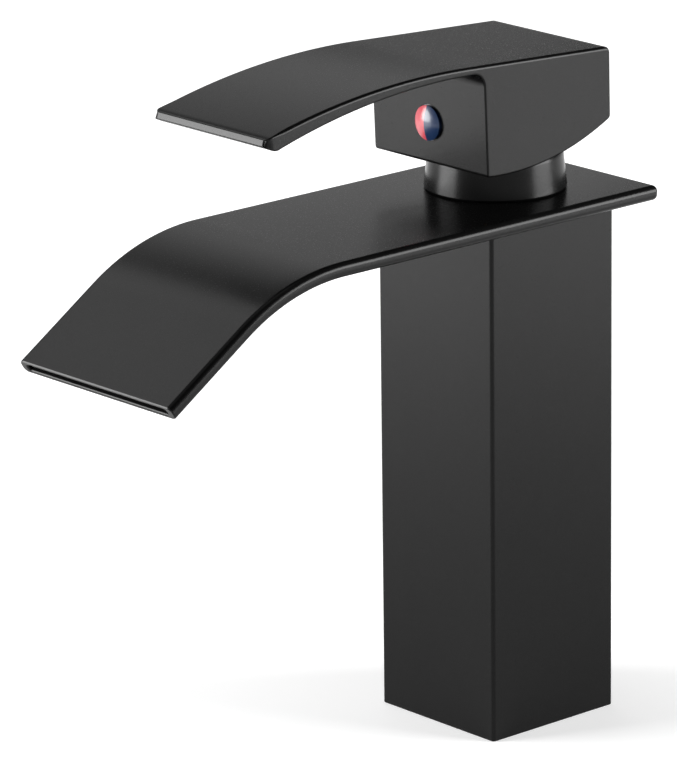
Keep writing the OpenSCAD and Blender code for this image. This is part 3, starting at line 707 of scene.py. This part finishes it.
# %% Hollow the hood
BOSS_HALF, BOSS_LOW, BOSS_BACK = 6.5, 146.4, 6.5
SOCKET_X, SOCKET_Y, SOCKET_TOP = 3.05, 3.55, 159.4
SCREW_Z, SCREW_BORE, BUTTON_RADIUS, BUTTON_DEPTH = SPOUT_TOP + 19.2, 2.55, 4.5, 2.5
# Cutters overlap each other by this much, and reach this far below the hood.
OVERLAP, BELOW_HOOD = 0.01, 2


def inner_front(z):
    """The inside of the hood's front wall."""
    return front_y(z) + HOOD_WALL


def inner_back(z):
    """The inside of the hood's back wall."""
    return back_y(z) - HOOD_WALL


def boss_back(z):
    """The back of the boss, which stands upright."""
    return BOSS_BACK


def across_hood(side, x_from, x_to):
    """A cutter whose side outline, in y and z, runs across part of the hood."""
    return solid_between([[(x, y, z) for y, z in side] for x in (x_from, x_to)])


def hood_hollow(front_edge, back_edge, x_from, x_to):
    """A block of the hood's hollow, up to the underside of the roof."""
    front, back = front_edge(ROOF_Z), back_edge(ROOF_Z)
    top = [(y, roof_z(y) - ROOF_THICK) for y in (front, back)]
    return across_hood([top[0], (front_edge(low), low), (back_edge(low), low), top[1]], x_from, x_to)


inside = HANDLE_HALF - HOOD_WALL
low = HOOD_LOW - BELOW_HOOD
past_boss, behind_boss = BOSS_HALF + OVERLAP, BOSS_BACK + OVERLAP
cut(lever, hood_hollow(inner_front, inner_back, -inside, -BOSS_HALF))
cut(lever, hood_hollow(inner_front, inner_back, BOSS_HALF, inside))
cut(lever, hood_hollow(boss_back, inner_back, -past_boss, past_boss))
under_boss = [(inner_front(BOSS_LOW), BOSS_LOW), (inner_front(low), low)]
under_boss += [(behind_boss, low), (behind_boss, BOSS_LOW)]
cut(lever, across_hood(under_boss, -past_boss, past_boss))
cut(lever, upright_block(SOCKET_X, SOCKET_Y, BOSS_LOW - OVERRUN, SOCKET_TOP))


def level_bore(radius, from_y, to_y, steps=72):
    """A cylinder along y at the screw's height, for a cutter."""
    return solid_between([[(x, y, SCREW_Z + z) for x, z in circle(radius, steps)] for y in (from_y, to_y)])


button_y = front_y(SCREW_Z)
cut(lever, level_bore(SCREW_BORE, 0, -FRONT - OVERRUN))
cut(lever, level_bore(BUTTON_RADIUS, button_y + BUTTON_DEPTH, button_y - OVERRUN))
smooth_shading(lever, 30)

# %% [markdown]
# ## Index dome
#
# The dome is a shallow cap of a sphere, 8.5 mm across and 1.1 mm high, in two
# halves, on a short straight rim that stands 0.8 mm out of the hood. Each half
# is a fan of rings from the middle to the rim, closed by a flat back, so that
# the split down the middle stays crisp.

# %% Form the index dome
DOME_RADIUS, DOME_RISE, DOME_PROUD = 4.25, 1.1, 0.8
SPHERE = (DOME_RADIUS**2 + DOME_RISE**2) / (2 * DOME_RISE)


def half_dome(side, rings=16, fans=32):
    """One half of the cap: side -1 is hot, side 1 is cold."""
    maker = bmesh.new()

    def point(reach, turn, front):
        cap = math.sqrt(SPHERE**2 - reach**2) - (SPHERE - DOME_RISE)
        x, z = side * reach * math.cos(turn), SCREW_Z + reach * math.sin(turn)
        return maker.verts.new(Vector((x, button_y - (DOME_PROUD + cap if front else 0), z)) * MM)

    turns = [math.pi * (i / fans - 0.5) for i in range(fans + 1)]
    centre = point(0, 0, True)
    grid = [[point(DOME_RADIUS * i / rings, turn, True) for turn in turns] for i in range(1, rings + 1)]
    for j in range(fans):
        maker.faces.new((centre, grid[0][j], grid[0][j + 1]))
        for near, far in zip(grid, grid[1:]):
            maker.faces.new((near[j], far[j], far[j + 1], near[j + 1]))
    rim = [point(DOME_RADIUS, turn, False) for turn in turns]
    for j in range(fans):
        maker.faces.new((grid[-1][j], rim[j], rim[j + 1], grid[-1][j + 1]))
    maker.faces.new(rim)
    seam = [centre] + [ring[0] for ring in grid] + [rim[0], rim[-1]]
    maker.faces.new(seam + [ring[-1] for ring in reversed(grid)])
    return maker


for name, side, slot, finish in [
    ("hot_index_half", -1, "index_red", red_acrylic),
    ("cold_index_half", 1, "index_blue", blue_acrylic),
]:
    half = add_piece(name, half_dome(side), "lever", finish, (slot,))
    smooth_shading(half, 40)

# %% [markdown]
# ## Dress the works inside
#
# The other parts keep the shapes that the design gave them, which are right as
# they are, and only get their finishes.

# %% Give the inner parts their finishes
inner_finishes = {
    machined_brass: ("valve_body", "cartridge_nut", "stem"),
    stainless_steel: ("pivot_pin", "grub_screw"),
    nitrile_rubber: (
        "base_gasket", "spout_gasket_lower", "spout_gasket_upper",
        "shell_o_ring", "carrier_o_ring", "seat_seals", "port_seals",
    ),
    white_acetal: ("cartridge_shell", "cartridge_base", "disc_driver"),
    blue_acetal: ("carrier",),
    lapped_alumina: ("fixed_disc", "moving_disc"),
    black_abs: ("index_plug",),
}
for finish, names in inner_finishes.items():
    for name in names:
        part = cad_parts[name]
        part.data.materials.clear()
        part.data.materials.append(finish)
print("dressed", sum(len(names) for names in inner_finishes.values()), "inner parts")

# %% [markdown]
# ## Studio
#
# The set is a pale floor, two soft lamps that stand low to the left and to the
# right, and four dim cards: one for the spout's slope, one for the lever's
# crown, a small one close behind for the spout's flat top, and one overhead.
# Satin black shows little of its own colour: what the eye reads is what it
# mirrors. So the lamps' and cards' places decide where the highlights lie, and
# the room between them stays dark to keep the rounded edges dark.

# %% Floor
# The floor's white as the eye and reflections see it, from near the foot to far off: (distance in metres,
# strength). It is painted dimmer near the foot: a painted shadow of the faucet in a ring round it, on top of
# the real shadows that the lamps cast.
PAINTED_SHADE_NEAR, GLOW_FAR = (0.12, 0.34), (0.58, 0.97)
FLOOR_HALF = 12.0
floor_mesh = bpy.data.meshes.new("pale_floor")
floor_corners = [(x * FLOOR_HALF, y * FLOOR_HALF, 0) for x, y in ((-1, -1), (1, -1), (1, 1), (-1, 1))]
floor_mesh.from_pydata(floor_corners, [], [(0, 1, 2, 3)])
floor = bpy.data.objects.new("pale_floor", floor_mesh)
bpy.context.scene.collection.objects.link(floor)


def combine(owner, operation, first, second):
    """A math node on two values."""
    return add_node(owner, "ShaderNodeMath", {0: first, 1: second}, operation=operation).outputs[0]


def seen_directly(owner):
    """1 for rays from the lens or from a reflection, 0 for the light itself."""
    rays = add_node(owner, "ShaderNodeLightPath").outputs
    seen = combine(owner, "MAXIMUM", rays["Is Camera Ray"], rays["Is Transmission Ray"])
    return combine(owner, "MAXIMUM", seen, rays["Is Glossy Ray"])


white_paper, paper = new_finish("matt_white_paper", Roughness=0.9, Specular_IOR_Level=0.0)
paper.inputs["Base Color"].default_value = linear("f0f0f0")
paper.inputs["Emission Color"].default_value = (1, 1, 1, 1)
on_floor = add_node(white_paper, "ShaderNodeTexCoord").outputs["Object"]
away = add_node(white_paper, "ShaderNodeVectorMath", {0: on_floor}, operation="LENGTH").outputs["Value"]
ends, levels = zip(PAINTED_SHADE_NEAR, GLOW_FAR)
# The paper's glow carries the painted shadow: it is weaker near the foot, for the eye and in reflections.
glow_with_painted_shade = spread(white_paper, away, ends, levels, interpolation_type="SMOOTHSTEP")
lit = combine(white_paper, "MULTIPLY", seen_directly(white_paper), glow_with_painted_shade)
link(white_paper, lit, paper, "Emission Strength")
floor_mesh.materials.append(white_paper)
print("floor", 2 * FLOOR_HALF, "m square")

# %% Room
# The dim wall's strength low and high up, and what is left of it on the side
# that the dark front faces. Heights are sines of the elevation.
ROOM_LOW, ROOM_HIGH, ROOM_FRONT = 0.06, 0.03, 0.3
WALL_ENDS, FRONT_ENDS, FRONT_WAY = (0.1, 0.6), (-0.2, 0.5), (0.75, -0.66, 0)
# The floor's white goes on a few degrees up the wall, for the eye and for
# reflections alike, so that a level view has no dark band above the floor.
SKIRTING = (0.07, 0.1)

room = bpy.data.worlds.new("dim_room")
room.use_nodes = True
bpy.context.scene.world = room
bpy.context.scene.view_settings.view_transform = "Standard"
look = add_node(room, "ShaderNodeTexCoord").outputs["Generated"]
height = add_node(room, "ShaderNodeSeparateXYZ", {0: look}).outputs["Z"]
wall = spread(room, height, WALL_ENDS, (ROOM_LOW, ROOM_HIGH), interpolation_type="SMOOTHSTEP")
facing = add_node(room, "ShaderNodeVectorMath", {0: look, 1: FRONT_WAY}, operation="DOT_PRODUCT")
shade = spread(room, facing.outputs["Value"], FRONT_ENDS, (1.0, ROOM_FRONT), interpolation_type="SMOOTHSTEP")
skirting = combine(room, "MULTIPLY", spread(room, height, SKIRTING, (1.0, 0.0)), seen_directly(room))
level = combine(room, "MAXIMUM", combine(room, "MULTIPLY", wall, shade), skirting)
surround = room.node_tree.nodes["Background"]
surround.inputs["Color"].default_value = (1, 1, 1, 1)
room.node_tree.links.new(level, surround.inputs["Strength"])
print("made the dim room")

# %% Lamps and cards
# Each has its azimuth and elevation in degrees, then its distance, width and
# height in metres, and its radiance, where 1 is the floor's white.
AIM = Vector((0, -0.03, 0.1))
LAMPS = [
    ("left_lamp", -39, 10, 0.7, 0.46, 0.34, 18),
    ("right_lamp", 132, 11, 0.7, 0.46, 0.34, 14.5),
    ("slope_card", -77, 46, 0.6, 0.26, 0.28, 1.9),
    ("crown_card", -119, 30.5, 0.7, 0.45, 0.25, 0.8),
    ("back_card", -129, 12.3, 0.165, 0.18, 0.08, 0.5),
    ("top_card", 0, 84, 0.9, 0.6, 0.6, 0.5),
]


def soft_lamp(name, azimuth, elevation, distance, width, height, radiance):
    """A rectangular soft lamp that faces the faucet. Azimuth 0 is in front of it."""
    lamp = bpy.data.lights.new(name, "AREA")
    lamp.shape, lamp.size, lamp.size_y = "RECTANGLE", width, height
    lamp.energy = radiance * math.pi * width * height
    stand = bpy.data.objects.new(name, lamp)
    towards = direction(math.radians(azimuth), math.radians(elevation))
    stand.location = AIM + towards * distance
    stand.visible_camera = False
    stand.rotation_euler = (-towards).to_track_quat("-Z", "Y").to_euler()
    bpy.context.scene.collection.objects.link(stand)
    return stand


for lamp in LAMPS:
    soft_lamp(*lamp)
print(len(LAMPS), "lamps and cards")
